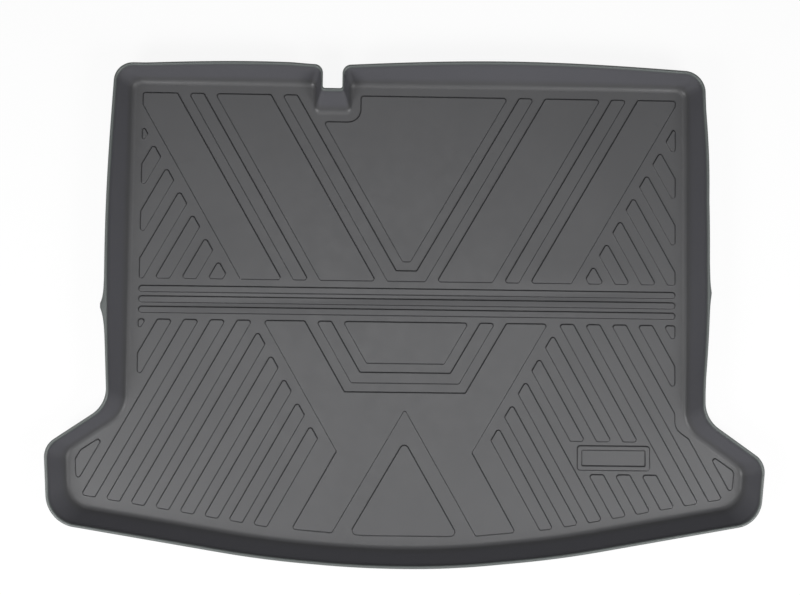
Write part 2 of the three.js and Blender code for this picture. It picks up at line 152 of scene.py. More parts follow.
link(tree, glow.outputs[0], mix.inputs[2])
link(tree, mix.outputs[0], output.inputs["Surface"])
print("nodes in the floor's paint:", len(tree.nodes))

# %% Lay the floor
FLOOR_HALF = 4.0
FLOOR_DROP = -0.0003

corner_signs = np.array([(-1, -1), (1, -1), (1, 1), (-1, 1)])
floor_points = np.column_stack([corner_signs * FLOOR_HALF, np.full(4, FLOOR_DROP)])
floor_mesh = bpy.data.meshes.new("floor")
floor_mesh.from_pydata(floor_points.tolist(), [], [(0, 1, 2, 3)])
floor_mesh.materials.append(floor_paint)
floor = bpy.data.objects.new("floor", floor_mesh)
bpy.context.scene.collection.objects.link(floor)
print("floor:", 2 * FLOOR_HALF, "m wide")

# %% [markdown]
# ## Sizes
# All sizes are in millimetres, as a mould maker would write them, and become metres when the
# mesh is made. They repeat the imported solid's own sizes, so that the surface fits it. Only the
# lip's corners are tighter here at the back and at the lobes' front, as the photograph has them.

# %% Name the sizes
MM = 0.001
TRAY_HEIGHT = 42.0
SHEET = 2.5
FOOT_FILLET = 9.0
LIP_WIDTH = 5.0
LIP_HEIGHT = 3.0

SIDE_FOOT = 405.8
BACK_FOOT = 335.0
FRONT_FOOT = 339.4
FRONT_FLAT_HALF = 60.0
FRONT_BEND_LEFT, FRONT_BEND_RIGHT = (-200.0, -328.4), (215.0, -323.8)
LOBE_FOOT = 489.5
LOBE_TAPER = 5.0
NOTCH_CENTRE = -113.5
NOTCH_WIDTH = 52.5
NOTCH_DEPTH = 41.1

TREAD_HEIGHT = 2.0
TREAD_CORNER = 3.0
TREAD_SHIFT = -2.8
GROOVE = 18.0
LEVEL_GAP = 14.0
PANEL_ANGLE = math.radians(60.0)
BAR_ANGLE = math.radians(60.75)
print("tray:", TRAY_HEIGHT, "mm high, sheet", SHEET, "mm")

# %% [markdown]
# ## Corners and straight edges
# Every outline here is a chain of straight edges with rounded corners. One function rounds a
# corner: it finds the circle that touches both edges, and turns a normal from the first edge to
# the second. A Bevel modifier could round the corners too, but it gives no outward normal at
# each point, and the pads' sides need those. The same function serves the wall and every pad.

# %% Round a corner
LARGEST_SETBACK = 0.49


def unit(vector):
    """The vector divided by its own length."""
    return vector / np.linalg.norm(vector)


def right_of(start, end):
    """Unit normal on the right of the way from start to end: the way's direction, turned a
    quarter clockwise. On a loop that runs anticlockwise it points outwards."""
    along = unit(end - start)
    return np.array([along[1], -along[0]])


def corner_arc(before, corner, after, radius, segments):
    """Points of the arc that touches both edges of a corner, and their outward normals.
    The setback along each edge is the radius times the tangent of half the turn. The centre
    lies one radius inside, and each point is the centre plus the radius times its normal."""
    normal_in, normal_out = right_of(before, corner), right_of(corner, after)
    cross = normal_in[0] * normal_out[1] - normal_in[1] * normal_out[0]
    turn = math.atan2(cross, normal_in @ normal_out)
    edges = np.linalg.norm(corner - before), np.linalg.norm(after - corner)
    setback = min(radius * math.tan(abs(turn) / 2), LARGEST_SETBACK * min(edges))
    reach = math.copysign(setback / math.tan(abs(turn) / 2), turn)
    centre = corner + setback * unit(before - corner) - reach * normal_in
    angles = turn * np.linspace(0.0, 1.0, segments + 1)
    cosines, sines = np.cos(angles), np.sin(angles)
    normals = np.column_stack([
        cosines * normal_in[0] - sines * normal_in[1],
        sines * normal_in[0] + cosines * normal_in[1],
    ])
    return centre + reach * normals, normals


quarter = corner_arc(*np.array([(0.0, 0.0), (10.0, 0.0), (10.0, 10.0)]), 3.0, 6)[0]
print("a rounded corner starts at", quarter[0].round(2), "and ends at", quarter[-1].round(2))

# %% [markdown]
# ## The wall's two lines
# The wall stands on a foot line and ends in the outer edge of the lip. The foot line has sixteen
# corners: two at the back, two at the waists, four on the lobes, four on the bowed front and
# four round the notch. The lip's line is the same chain with each edge moved outwards by its own
# draft, and its corners have radii of their own. Two lines are enough, because the wall is
# straight between its foot and its lip.

# %% List the corners of the foot line
# Each wall has a draft and a margin, the bare floor between its foot and the tread.
SIDE_WALL, BACK_WALL = (21.9, 15.6), (19.5, 17.8)
FRONT_LEFT, FRONT_RIGHT = (26.0, 17.5), (26.0, 14.0)
FLARE_LEFT, FLARE_RIGHT = (21.8, 10.3), (24.5, 10.3)
LOBE_LEFT, LOBE_RIGHT = (25.0, 12.5), (23.5, 12.5)
NOTCH_WALL, NOTCH_BACK = (12.2, 15.5), (28.0, 15.5)

# Each corner: place, radius on the foot, radius on the lip, arc segments, the wall that
# follows, and that edge's name where the rim has a set of its own.
notch_right, notch_left = NOTCH_CENTRE + NOTCH_WIDTH / 2, NOTCH_CENTRE - NOTCH_WIDTH / 2
notch_end = BACK_FOOT - NOTCH_DEPTH
FOOT_CORNERS = [
    ((SIDE_FOOT, -162.5), 45, 45, 16, SIDE_WALL, "right"),
    ((SIDE_FOOT, BACK_FOOT), 14, 31, 16, BACK_WALL, "back_right"),
    ((notch_right, BACK_FOOT), 7, 11, 10, NOTCH_WALL, ""),
    ((notch_right, notch_end), 8, 3, 10, NOTCH_BACK, ""),
    ((notch_left, notch_end), 8, 3, 10, NOTCH_WALL, ""),
    ((notch_left, BACK_FOOT), 7, 11, 10, BACK_WALL, "back_left"),
    ((-SIDE_FOOT, BACK_FOOT), 14, 27, 16, SIDE_WALL, "left"),
    ((-SIDE_FOOT, -149.0), 45, 45, 16, FLARE_LEFT, ""),
    ((-LOBE_FOOT, -205.5), 22, 30, 14, LOBE_LEFT, ""),
    ((LOBE_TAPER - LOBE_FOOT, -282.3), 36, 48, 20, FRONT_LEFT, ""),
    (FRONT_BEND_LEFT, 1500, 1500, 10, FRONT_LEFT, ""),
    ((-FRONT_FLAT_HALF, -FRONT_FOOT), 1500, 1500, 10, FRONT_LEFT, ""),
    ((FRONT_FLAT_HALF, -FRONT_FOOT), 1500, 1500, 10, FRONT_RIGHT, ""),
    (FRONT_BEND_RIGHT, 1500, 1500, 10, FRONT_RIGHT, ""),
    ((LOBE_FOOT - LOBE_TAPER, -274.3), 36, 42, 20, LOBE_RIGHT, ""),
    ((LOBE_FOOT, -221.5), 22, 30, 14, FLARE_RIGHT, ""),
]
foot_corners = np.array([corner[0] for corner in FOOT_CORNERS])
print("corners on the foot line:", len(foot_corners))


# %% Move the edges of an outline
def move_edges(corners, distances):
    """Corners after each edge has moved outwards by its distance. A corner's new place is where
    its two moved edges cross: the old place plus the solution of the two offset equations."""
    following = np.roll(corners, -1, axis=0)
    along = (following - corners) / np.linalg.norm(following - corners, axis=1)[:, None]
    normal_out = np.column_stack([along[:, 1], -along[:, 0]])
    normal_in = np.roll(normal_out, 1, axis=0)
    move_out, move_in = np.asarray(distances, float), np.roll(distances, 1)
    cross = normal_in[:, 0] * normal_out[:, 1] - normal_in[:, 1] * normal_out[:, 0]
    shift_x = (move_in * normal_out[:, 1] - move_out * normal_in[:, 1]) / cross
    shift_y = (move_out * normal_in[:, 0] - move_in * normal_out[:, 0]) / cross
    return corners + np.column_stack([shift_x, shift_y])


drafts, margins = np.array([corner[4] for corner in FOOT_CORNERS]).T
rim_corners = move_edges(foot_corners, drafts)
print("lip reaches from", rim_corners.min(axis=0).round(1), "to", rim_corners.max(axis=0).round(1))

# %% [markdown]
# ## The set of the soft rim
# A soft tray doesn't keep its rim straight. Long walls bow outwards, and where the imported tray
# was folded the lip has a pointed kink on the left and a small one on the right. A bow is half a
# cosine wave along the edge. A kink falls away from its peak as an exponential does. A lattice
# could bend the rim as well, but a centre, a reach and a push are easier to set by a photograph.

# %% Describe bows and kinks
BOWS = [  # edge, centre on the foot line, reach, push
    ("left", 90.0, 240.0, 8.1),
    ("right", 95.0, 200.0, 6.3),
    ("right", -30.0, 100.0, 1.8),
    ("right", 240.0, 80.0, 1.8),
    ("back_right", 150.0, 260.0, 10.4),
    ("back_left", -225.0, 150.0, 4.6),
    ("back_left", -139.0, 40.0, -1.4),
]
FOLD_LEFT, FOLD_RIGHT = 8.0, 36.0
KINKS = [  # edge, centre on the lip, width, roundness of the tip, push
    ("left", 1.0, 13.0, 2.0, 7.2),
    ("right", 31.5, 10.0, 3.0, 2.6),
]


def place_on(edge, points):
    """Where points lie along a named edge: x on the back edges, and y on the side edges."""
    return points[:, 0] if edge.startswith("back") else points[:, 1]


def bow_push(edge, points, outwards):
    """Push of the whole rim, as vectors: for each bow, its height times the cosine of a quarter
    turn times the distance from its centre over its reach, and nothing past its reach."""
    push = np.zeros(len(points))
    for name, centre, reach, height in BOWS:
        if name == edge:
            far = np.abs(place_on(edge, points) - centre) / reach
            push += height * np.cos(np.minimum(far, 1.0) * math.pi / 2)
    return push[:, None] * outwards


def kink_push(edge, points):
    """Push of the lip's outer edge alone: height times exp(-(soft distance) / width), where the
    soft distance is the root of distance squared plus tip squared, less the tip."""
    push = np.zeros(len(points))
    for name, centre, width, tip, height in KINKS:
        if name == edge:
            soft = np.hypot(place_on(edge, points) - centre, tip) - tip
            push += height * np.exp(-soft / width)
    return push


print("bows on the rim:", len(BOWS), "kinks:", len(KINKS))

# %% Walk round the foot line and the lip
STATION = 6.0


def walk_wall():
    """Matching points of the foot line and of the lip's edge, and the kink at each. Corners are
    arcs with equal counts, and straight edges are cut into equal shares of at most a station. A
    corner takes the push of each of its edges by the share of the arc that lies towards it."""
    count = len(FOOT_CORNERS)
    arcs = []
    for i, (_, foot_radius, rim_radius, segments, _, _) in enumerate(FOOT_CORNERS):
        trio = [i - 1, i, (i + 1) % count]
        arcs.append((
            corner_arc(*foot_corners[trio], foot_radius, segments)[0],
            corner_arc(*rim_corners[trio], rim_radius, segments)[0],
        ))
    feet, rims, kinks = [], [], []
    for i, (foot, rim) in enumerate(arcs):
        next_foot, next_rim = arcs[(i + 1) % count]
        last_edge, edge = FOOT_CORNERS[i - 1][5], FOOT_CORNERS[i][5]
        steps = math.ceil(np.linalg.norm(next_foot[0] - foot[-1]) / STATION)
        shares = (np.arange(1, steps) / steps)[:, None]
        on_foot = foot[-1] + (next_foot[0] - foot[-1]) * shares
        on_rim = rim[-1] + (next_rim[0] - rim[-1]) * shares
        outwards = right_of(foot[-1], next_foot[0])
        turned = np.linspace(0.0, 1.0, len(rim))[:, None]
        from_last = bow_push(last_edge, foot[:1], right_of(arcs[i - 1][0][-1], foot[0]))
        from_next = bow_push(edge, foot[-1:], outwards)
        feet += [foot, on_foot]
        rims += [rim + from_last * (1 - turned) + from_next * turned]
        rims += [on_rim + bow_push(edge, on_foot, outwards)]
        kinks += [np.zeros(len(foot)), kink_push(edge, on_rim)]
    return np.vstack(feet), np.vstack(rims), np.concatenate(kinks)


foot_line, rim_line, kink_line = walk_wall()
print("stations round the wall:", len(foot_line))

# %% [markdown]
# ## The wall's section
# At each station the section runs from the floor through the foot fillet, up the inside, over
# the rolled lip, down the outside and round the outer fillet to the underside. A curve with a
# bevel profile would keep one section all the way round, but here every wall leans differently.
# So the section is worked out anew at each station, and all stations are worked out together:
# each row of the table below is one line that runs round the whole tray.

# %% Write rows that are straight and rows that are arcs
FILLET_STEPS, WALL_STEPS, BEAD_STEPS = 8, 6, 12


def blend_rows(start, end, shares):
    """Rows at the given shares of the way from the row start to the row end."""
    return start + (end - start) * np.asarray(shares)[:, None, None]


def arc_rows(corner, way_in, way_out, radius, steps):
    """Rows of an arc in the plane of each section. It is the same circle as in corner_arc, for
    all stations at once: the corner, the unit ways in and out, and the radius."""
    turn = np.arccos(np.clip((way_in * way_out).sum(axis=1), -1.0, 1.0))
    setback = radius * np.tan(turn / 2)
    start = corner - way_in * setback[:, None]
    inward = way_out - way_in * np.cos(turn)[:, None]
    inward /= np.linalg.norm(inward, axis=1)[:, None]
    angles = turn * np.linspace(0.0, 1.0, steps + 1)[:, None]
    forward = (np.sin(angles) * radius)[..., None] * way_in
    sideways = ((1 - np.cos(angles)) * radius)[..., None] * inward
    return start + forward + sideways


level_way, upright_way = np.array([[1.0, 0.0]]), np.array([[0.0, 1.0]])
fillet = arc_rows(np.zeros((1, 2)), level_way, upright_way, FOOT_FILLET, FILLET_STEPS)
print("under an upright wall the fillet starts", -fillet[0, 0, 0].round(2), "mm before the foot")

# %% Draw the section
LEVEL_STRIP = 0.5


def section_rows(run, kink):
    """Rows of the section as (distance outwards, height) for each station. A level strip before
    the inner fillet and after the outer one lets the flat faces keep their normals."""
    count = len(run)
    shoulder = TRAY_HEIGHT - LIP_HEIGHT
    inner_foot = np.column_stack([np.zeros(count), np.full(count, SHEET)])
    inner_top = np.column_stack([run - LIP_WIDTH, np.full(count, shoulder)])
    slope = (inner_top - inner_foot) / np.linalg.norm(inner_top - inner_foot, axis=1)[:, None]
    outer_top = inner_top + np.column_stack([SHEET / slope[:, 1], np.zeros(count)])
    outer_foot = outer_top - slope * (outer_top[:, 1] / slope[:, 1])[:, None]
    level = np.tile([1.0, 0.0], (count, 1))
    foot = arc_rows(inner_foot, level, slope, FOOT_FILLET, FILLET_STEPS)
    inside = blend_rows(foot[-1], inner_top, np.arange(1, WALL_STEPS) / WALL_STEPS)
    angles = math.pi * (1 - np.arange(BEAD_STEPS + 1) / BEAD_STEPS)
    half_width = (LIP_WIDTH + kink * (0.5 + 0.5 * np.cos(angles))[:, None]) / 2
    bead = np.stack([
        inner_top[:, 0] + half_width * (1 + np.cos(angles))[:, None],
        np.broadcast_to((shoulder + LIP_HEIGHT * np.sin(angles))[:, None], half_width.shape),
    ], axis=2)
    outer = arc_rows(outer_foot, -slope, -level, FOOT_FILLET + SHEET, FILLET_STEPS)
    outside = blend_rows(outer_top, outer[0], np.arange(0, WALL_STEPS) / WALL_STEPS)
    first, last = foot[:1] - level * LEVEL_STRIP, outer[-1:] - level * LEVEL_STRIP
    return np.concatenate([first, foot, inside, bead, outside, outer, last])


one_section = section_rows(np.array([BACK_WALL[0]]), np.zeros(1))
print("the back wall reaches", one_section[..., 0].max().round(2), "mm past its foot")

# %% Stand the section on every station
away = rim_line - foot_line
run_out = np.linalg.norm(away, axis=1)
direction = away / run_out[:, None]
section = section_rows(run_out, kink_line)
wall_rows = np.dstack([
    foot_line[:, 0] + direction[:, 0] * section[..., 0],
    foot_line[:, 1] + direction[:, 1] * section[..., 0],
    section[..., 1],
])
print("rows in the section:", len(wall_rows))

# %% [markdown]
# ## Cutting outlines
# Most pads of the tread are one simple strip that the field's edge cuts. A strip is cut by one
# straight line after another. What lies in front of a line goes, and the rest stays. Boolean
# modifiers could cut whole solids, but a cut outline stays exact and can still be rounded.

# %% Cut an outline by lines
def clip(outline, on, normal):
    """Part of an outline on the inner side of a line. Each point's depth is its distance in
    front of the line. An edge whose ends differ in sign is cut where the depth is nought."""
    depth = (outline - on) @ np.asarray(normal)
    ahead = np.roll(depth, -1)
    crosses = depth * ahead < 0
    share = depth / np.where(crosses, depth - ahead, 1.0)
    cut = outline + (np.roll(outline, -1, axis=0) - outline) * share[:, None]
    both = np.stack([outline, cut], axis=1).reshape(-1, 2)
    return both[np.stack([depth <= 0, crosses], axis=1).ravel()]


def within(outline, limits):
    """The outline cut by each limit in turn."""
    for on, normal in limits:
        outline = clip(outline, on, normal) if len(outline) > 2 else outline
    return outline


def area(outline):
    """Signed area: half the sum of the cross products of neighbours."""
    following = np.roll(outline, -1, axis=0)
    return float((outline[:, 0] * following[:, 1] - following[:, 0] * outline[:, 1]).sum()) / 2


SMALLEST_PAD = 20.0


def large(outline):
    """True for an outline that is worth a pad."""
    return len(outline) > 2 and abs(area(outline)) > SMALLEST_PAD


square = corner_signs * 10.0
print("a square of", area(square), "mm2, cut along its diagonal:", area(clip(square, 0, (1, 1))))

# %% [markdown]
# ## The tread's plan
# The tread is laid out on one side of its own middle line and mirrored. All edges of the panels
# lean one way and all edges of the bars the other way, so two functions give every slanted line.
# Distances outwards are counted along the back edge of the band of cross bars. Each corner could
# be drawn by hand instead, but a plan with a pitch, a width and a groove keeps the pads in line.

# %% Set the plan's lines
BAND_CENTRE, BAND_GAP_BACK, BAND_GAP_FRONT = 15.4, 11.6, 10.2
CROSS_BARS, CROSS_PITCH, CROSS_WIDTH = 3, 15.15, 8.2
VEE_HALF, VEE_BASE, STRIP, WIDE_PANEL, EDGE_PANEL = 27.3, 14.6, 20.5, 80.0, 59.0
BAR_START, BAR_PITCH, BAR_WIDTH = 249.0, 38.55, 20.4
BACK_BARS, FRONT_BARS = range(1, 8), range(-6, 4)
WHOLE_BAR = 1  # runs past the left waist uncut

band_half = ((CROSS_BARS - 1) * CROSS_PITCH + CROSS_WIDTH) / 2
band_back = BAND_CENTRE + band_half + BAND_GAP_BACK
band_front = BAND_CENTRE - band_half - BAND_GAP_FRONT
field_back, field_side = BACK_FOOT - BACK_WALL[1], SIDE_FOOT - SIDE_WALL[1]
wide_start = VEE_HALF + GROOVE
strip_start = wide_start + WIDE_PANEL + GROOVE
edge_start = strip_start + STRIP + GROOVE
edge_end = edge_start + EDGE_PANEL
head_start = edge_end + GROOVE
panel_cot, bar_cot = 1 / math.tan(PANEL_ANGLE), 1 / math.tan(BAR_ANGLE)


def panel_edge(start, y):
    """Point of a panel's edge at depth y: it leans outwards to the back."""
    return start + (y - band_back) * panel_cot, y


def bar_edge(start, y):
    """Point of a bar's edge at depth y: it leans outwards to the front."""
    return start - (y - band_back) * bar_cot, y


def on_tray(outline, side):
    """Outline on the tray: mirrored for the left side, and moved to the tread's middle line."""
    return np.asarray(outline, float) * (side, 1) + (TREAD_SHIFT, 0)


def both_halves(right_half):
    """Outline whose right half is given, followed by its mirror image in reverse order."""
    return right_half + [(-x, y) for x, y in reversed(right_half)]


print("band of cross bars from y =", round(band_front, 2), "to", round(band_back, 2))

# %% [markdown]
# ## Panels of the back field
# Behind the band stand a flat-bottomed vee with a panel inside it, and on each side a wide
# panel, a narrow strip and an edge panel. The inner panel steps round the notch. Each panel is
# laid out at full size first and cut afterwards, so its slanted edges stay on the plan's lines.

# %% Lay out the back panels
def back_panels(side):
    """Edge panel, strip and wide panel of one side, cut by the field's side."""
    made = []
    for start, width in ((edge_start, EDGE_PANEL), (strip_start, STRIP), (wide_start, WIDE_PANEL)):
        outline = on_tray([
            panel_edge(start, band_back), panel_edge(start + width, band_back),
            panel_edge(start + width, field_back), panel_edge(start, field_back),
        ], side)
        made.append(clip(outline, (side * field_side, 0), (side, 0)))
    return made


def vee_panels():
    """The vee, and the panel inside it."""
    vee_floor, vee_inner = band_back + VEE_BASE, VEE_HALF - STRIP
    vee = both_halves([
        panel_edge(VEE_HALF, band_back), panel_edge(VEE_HALF, field_back),
        panel_edge(vee_inner, field_back), panel_edge(vee_inner, vee_floor),
    ])
    inner_half, inner_floor = vee_inner - GROOVE, vee_floor + LEVEL_GAP
    notch_line = notch_end - NOTCH_BACK[1]
    notch_side = notch_right + NOTCH_WALL[1] - TREAD_SHIFT
    corner, meet = panel_edge(inner_half, inner_floor), panel_edge(inner_half, notch_line)
    inner = [
        corner, panel_edge(inner_half, field_back), (notch_side, field_back),
        (notch_side, notch_line), (-meet[0], meet[1]), (-corner[0], corner[1]),
    ]
    return [on_tray(vee, 1), on_tray(inner, 1)]


def cross_bars():
    """Three long bars across the tray."""
    made = []
    for i in range(CROSS_BARS):
        y = BAND_CENTRE + (i - (CROSS_BARS - 1) / 2) * CROSS_PITCH
        low, high = y - CROSS_WIDTH / 2, y + CROSS_WIDTH / 2
        made.append(np.array([
            (-field_side, low), (field_side, low), (field_side, high), (-field_side, high),
        ]))
    return made


print("panels behind the band:", len(back_panels(-1) + back_panels(1) + vee_panels()))

# %% [markdown]
# ## Side bars
# The slanted bars of both fields stand on one grid. The field's outline cuts each bar. A bar
# that passes the waist of the tray becomes two, and one that meets the name frame stops short.
# The long bar beside the left waist is whole, so its field is open on that side. An Array
# modifier could repeat one bar, but each of these ends in another way.

# %% Bound the two fields
FRAME_CENTRE, FRAME_SIZE = (301.2, -207.3), (104.4, 34.6)
FRAME_BORDER, FRAME_GAP = 5.6, 7.0

field_corners = move_edges(foot_corners, -margins)
ahead_of_band = field_corners[field_corners[:, 1] < band_front]
front_field = np.vstack([
    ahead_of_band[:1], [(field_side, band_front), (-field_side, band_front)], ahead_of_band[1:],
])
open_field = np.vstack([
    ahead_of_band[:1], [(field_side, band_front), (-LOBE_FOOT, band_front)], ahead_of_band[2:],
])
back_field = np.array([
    (-field_side, band_back), (field_side, band_back),
    (field_side, field_back), (-field_side, field_back),
])
panel_out = np.array([math.sin(PANEL_ANGLE), -math.cos(PANEL_ANGLE)])
bar_out = np.array([math.sin(BAR_ANGLE), math.cos(BAR_ANGLE)])
print("front field:", round(area(front_field)), "mm2, back field:", round(area(back_field)), "mm2")


# %% Lay out the side bars
def bar_limits(number, side):
    """The three lines that bound a bar: outer edge, inner edge, and head beside the panel."""
    outer = BAR_START + number * BAR_PITCH
    lines = [(outer, bar_out), (outer - BAR_WIDTH, -bar_out), (head_start, -panel_out)]
    return [
        (on_tray([(start, band_back)], side)[0], normal * (side, 1)) for start, normal in lines
    ]


def stretches(side, limits):
    """Ranges of depth in which a front bar stands, each as a list of limits."""
    waist = ahead_of_band[0] if side > 0 else ahead_of_band[1]
    middle, half = np.array(FRAME_CENTRE), np.array(FRAME_SIZE) / 2
    frame_outline = middle + half * corner_signs
    on, normal = limits[1]
    if (waist - on) @ normal > 0:
        return [[((0, waist[1]), (0, -1))], [((0, waist[1]), (0, 1))]]
    if large(within(frame_outline, limits)):
        back_stop = middle[1] + half[1] + FRAME_GAP
        front_stop = middle[1] - half[1] - FRAME_GAP
        return [[((0, back_stop), (0, -1))], [((0, front_stop), (0, 1))]]
    return [[]]


def side_bars(side):
    """Bars of both fields on one side."""
    made = [within(back_field, bar_limits(number, side)) for number in BACK_BARS]
    for number in FRONT_BARS:
        limits = bar_limits(number, side)
        field = open_field if side < 0 and number == WHOLE_BAR else front_field
        made += [within(field, cut + limits) for cut in stretches(side, limits)]
    return [outline for outline in made if large(outline)]


print("side bars, left and right:", len(side_bars(-1)), len(side_bars(1)))

# %% [markdown]
# ## Panels of the front field
# One large panel fills the middle. A flat-bottomed recess is cut in its back edge and a ridge in
# its front edge. A band and a panel nest in the recess, and a triangle stands in the ridge. Only
# the right half of each outline is written down, because its mirror image gives the left half.

# %% Lay out the front panels
RECESS_DROP, RIDGE_GROOVE, RIDGE_DROP = 102.0, 27.0, 125.4
FRONT_SLOPE = math.radians(30.0)


def front_edges():
    """Lines along the bowed front of the field, as the tread's middle line sees them."""
    following = np.roll(field_corners, -1, axis=0)
    lines = [(at, right_of(at, after)) for at, after in zip(field_corners, following)]
    return [
        (at - (TREAD_SHIFT, 0), normal)
        for at, normal in lines if normal[1] < -math.cos(FRONT_SLOPE)
    ]


def front_panels():
    """Main panel, band, nested panel and triangle."""
    leg_start = BAR_START + (FRONT_BARS[0] - 1) * BAR_PITCH - BAR_WIDTH
    waist_drop = (edge_end - leg_start) / (panel_cot + bar_cot)
    recess_floor, apex = band_front - RECESS_DROP, band_front - RIDGE_DROP
    below = -FRONT_FOOT - FRONT_LEFT[1]
    inner_apex = apex - RIDGE_GROOVE * math.tan(PANEL_ANGLE)
    edges = front_edges()

    def peak(top, half):
        """Outline of a right half under a ridge at top, with the mirrored peak left out."""
        return np.array(both_halves([(0, top)] + half)[:-1])

    main = within(peak(apex, [
        ((apex - below) * panel_cot, below), bar_edge(leg_start, below),
        panel_edge(edge_end, band_back - waist_drop), panel_edge(edge_end, band_front),
        panel_edge(edge_start, band_front), panel_edge(edge_start, recess_floor),
    ]), edges)
    triangle = within(peak(inner_apex, [((inner_apex - below) * panel_cot, below)]), edges)
    band_outer = edge_start - GROOVE
    band_inner, band_floor = band_outer - STRIP, recess_floor + LEVEL_GAP
    band = both_halves([
        panel_edge(band_outer, band_floor), panel_edge(band_outer, band_front),
        panel_edge(band_inner, band_front), panel_edge(band_inner, band_floor + VEE_BASE),
    ])
    nested_start, nested_floor = band_inner - GROOVE, band_floor + VEE_BASE + LEVEL_GAP
    nested = both_halves([
        panel_edge(nested_start, nested_floor), panel_edge(nested_start, band_front),
    ])
    return [on_tray(outline, 1) for outline in (main, band, nested, triangle)]


print("lines along the bowed front:", len(front_edges()), "panels there:", len(front_panels()))

# %% Collect every pad with its corner radii
POINT_CORNER, FRAME_CORNER = 6.0, 4.0
NOTCH_ROUND, WAIST_ROUND = 21.0, 55.0


def with_corners(outlines, radius, hollow):
    """Each outline with the radius of its corners and that of its hollows."""
    return [(outline, radius, hollow) for outline in outlines]


vee, inner_panel = vee_panels()
*front_pads, point_pad = front_panels()
plain_pads = back_panels(-1) + back_panels(1) + [vee] + front_pads
frame_middle, frame_half = np.array(FRAME_CENTRE), np.array(FRAME_SIZE) / 2
pads = (
    with_corners(cross_bars(), CROSS_WIDTH / 2, TREAD_CORNER)
    + with_corners(plain_pads, TREAD_CORNER, TREAD_CORNER)
    + with_corners([inner_panel], TREAD_CORNER, NOTCH_ROUND)
    + with_corners(side_bars(-1) + side_bars(1), TREAD_CORNER, WAIST_ROUND)
    + with_corners([point_pad], POINT_CORNER, POINT_CORNER)
    + with_corners([frame_middle + frame_half * corner_signs], FRAME_CORNER, FRAME_CORNER)
)
print("pads on the floor:", len(pads))

# %% [markdown]
# ## Soft shoulders
# A mould leaves no sharp edge on a pad. Its side falls from the top to the floor as a smooth
# step, level at both ends, so the pad melts into the faces that it joins. A Bevel modifier would
# need sharp blocks that are already joined to the floor. Here the outline is rounded, and each
# row of the shoulder is that outline moved outwards along its normals.

# %% Round an outline
SHORTEST_EDGE, EDGE_STEP = 1.5, 8.0
CORNER_STEPS = 6
SHALLOW_TURN = math.radians(14.0)


def rounded(outline, radius, hollow):
    """Points and normals of an outline with round corners and hollows, cut into steps along its
    edges. Corners that turn by little keep their point, with the mitred normal."""
    lengths = np.linalg.norm(outline - np.roll(outline, 1, axis=0), axis=1)
    ring = outline[lengths > SHORTEST_EDGE]
    ring = ring if area(ring) > 0 else ring[::-1]
    arcs = []
    for i, corner in enumerate(ring):
        before, after = ring[i - 1], ring[(i + 1) % len(ring)]
        normal_in, normal_out = right_of(before, corner), right_of(corner, after)
        if math.acos(min(normal_in @ normal_out, 1.0)) > SHALLOW_TURN:
            bend = radius if area(np.array([before, corner, after])) > 0 else hollow
            arcs.append(corner_arc(before, corner, after, bend, CORNER_STEPS))
        else:
            mitre = normal_in + normal_out
            arcs.append((corner[None], (mitre * 2 / (mitre @ mitre))[None]))
    points, normals = [], []
    for (here, here_normals), (there, _) in zip(arcs, arcs[1:] + arcs[:1]):
        steps = int(np.linalg.norm(there[0] - here[-1]) // EDGE_STEP) + 1
        shares = (np.arange(1, steps) / steps)[:, None]
        straight = here[-1] + (there[0] - here[-1]) * shares
        points += [here, straight]
        normals += [here_normals, np.tile(right_of(here[-1], there[0]), (len(straight), 1))]
    return np.vstack(points), np.vstack(normals)


print("points on the vee's outline:", len(rounded(vee, TREAD_CORNER, TREAD_CORNER)[0]))

# %% Drop the shoulder of every pad
SHOULDER_INSET, SHOULDER_WIDTH, LEVEL_RING = 0.6, 2.1, 0.2
SHOULDER_STEPS, SHOULDER_ROUND = 8, 0.25
SHOULDER_SHARES = np.linspace(0.0, 1.0, SHOULDER_STEPS + 1)


def soft_step(t):
    """Step from 1 down to 0 as t goes from 0 to 1: an even fall that a parabola rounds off over
    the share SHOULDER_ROUND at each end."""
    near = np.minimum(t, 1 - t)
    rounded_part = near ** 2 / (2 * SHOULDER_ROUND)
    fall = np.where(near < SHOULDER_ROUND, rounded_part, near - SHOULDER_ROUND / 2)
    fall /= 1 - SHOULDER_ROUND
    return np.where(t < 0.5, 1 - fall, fall)


def shoulder_rows(outline, radius, hollow, way=1):
    """Rows of a pad's side from its top to the floor. The height falls by the soft step while
    the row moves outwards evenly. With way = -1 the side falls inwards. The first and last rows
    lie level beyond the step, so that the flat faces keep their normals."""
    points, normals = rounded(outline, radius, hollow)
    shares = np.array([-LEVEL_RING, *SHOULDER_SHARES, 1.0 + LEVEL_RING])
    spread = way * (SHOULDER_WIDTH * shares - SHOULDER_INSET)
    height = SHEET + TREAD_HEIGHT * soft_step(np.clip(shares, 0.0, 1.0))
    flat = points + normals * spread[:, None, None]
    return np.dstack([flat, np.broadcast_to(height[:, None], flat.shape[:2])])


pad_sides = [shoulder_rows(*pad) for pad in pads]
pocket_outline = frame_middle + (frame_half - FRAME_BORDER) * corner_signs
pocket_sides = shoulder_rows(pocket_outline, FRAME_CORNER / 2, FRAME_CORNER / 2, way=-1)
print("points on the tread's sides:", sum(side[..., 0].size for side in pad_sides))

# %% [markdown]
# ## Level faces
# The floor between the pads is one face with many holes, and each pad has a level top. Blender
# has no faces with holes, so both are filled with triangles that keep the outlines. A Remesh
# modifier could rebuild the skin too, but it would blur the pads. Extra points are strewn along
# the fold and, more thinly, everywhere else, because the fold needs vertices that it can move.

